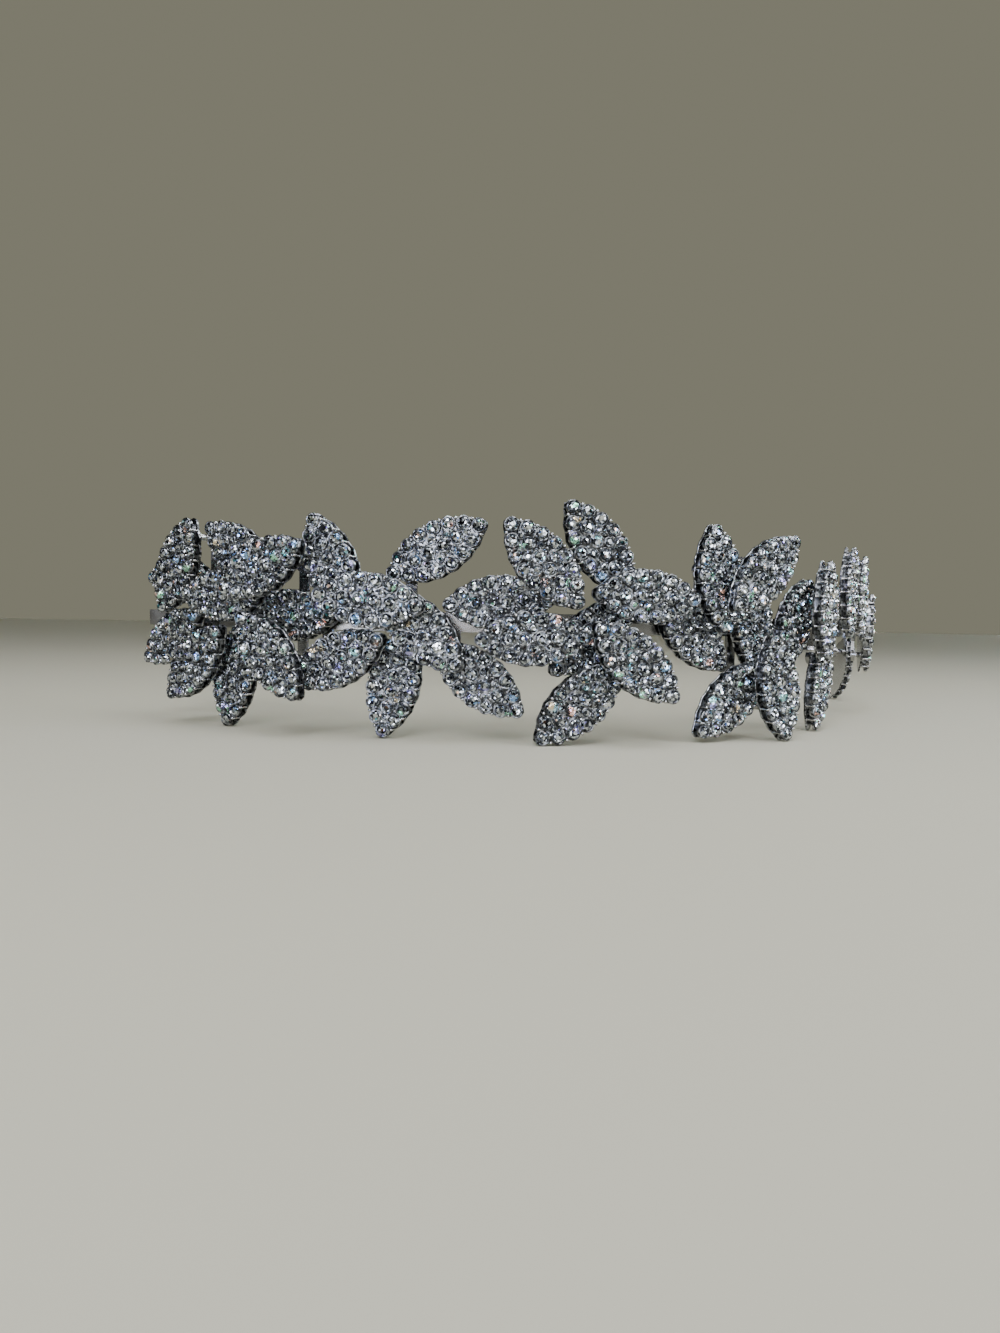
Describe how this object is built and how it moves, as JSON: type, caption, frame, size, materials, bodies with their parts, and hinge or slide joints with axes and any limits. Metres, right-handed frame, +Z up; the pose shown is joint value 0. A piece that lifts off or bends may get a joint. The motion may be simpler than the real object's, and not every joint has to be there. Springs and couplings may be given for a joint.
{
  "type": "diadem",
  "caption": "Narrow open head band under overlapping pointed leaf settings paved with cut stones, worn across the front and sides of the head",
  "frame": {"origin": "at the middle of the band's inner face seen from above, in the plane that the leaves' lowest tips stand on", "axes": "+Z is up along the band's axis, -Y is the front at the middle of the band's arc, +Y is the open back, +X is the wearer's left; the axis is at X 0, Y 0.088"},
  "size_m": [0.1729, 0.0751, 0.0387],
  "materials": {
    "band": "polished white metal",
    "leaf": "polished white metal, paved with clear cut stones"
  },
  "bodies": {
    "root": {"band": "band", "leaf_01": "leaf", "leaf_02": "leaf", "leaf_03": "leaf", "leaf_04": "leaf", "leaf_05": "leaf", "leaf_06": "leaf", "leaf_07": "leaf", "leaf_08": "leaf", "leaf_09": "leaf", "leaf_10": "leaf", "leaf_11": "leaf", "leaf_12": "leaf", "leaf_13": "leaf", "leaf_14": "leaf", "leaf_15": "leaf", "leaf_16": "leaf", "leaf_17": "leaf", "leaf_18": "leaf", "leaf_19": "leaf", "leaf_20": "leaf", "leaf_21": "leaf", "leaf_22": "leaf", "leaf_23": "leaf", "leaf_24": "leaf", "leaf_25": "leaf", "leaf_26": "leaf", "leaf_27": "leaf", "leaf_28": "leaf", "leaf_29": "leaf", "leaf_30": "leaf", "leaf_31": "leaf", "leaf_32": "leaf", "leaf_33": "leaf", "leaf_34": "leaf", "leaf_35": "leaf", "leaf_36": "leaf", "leaf_37": "leaf", "leaf_38": "leaf"}
  },
  "joints": []
}
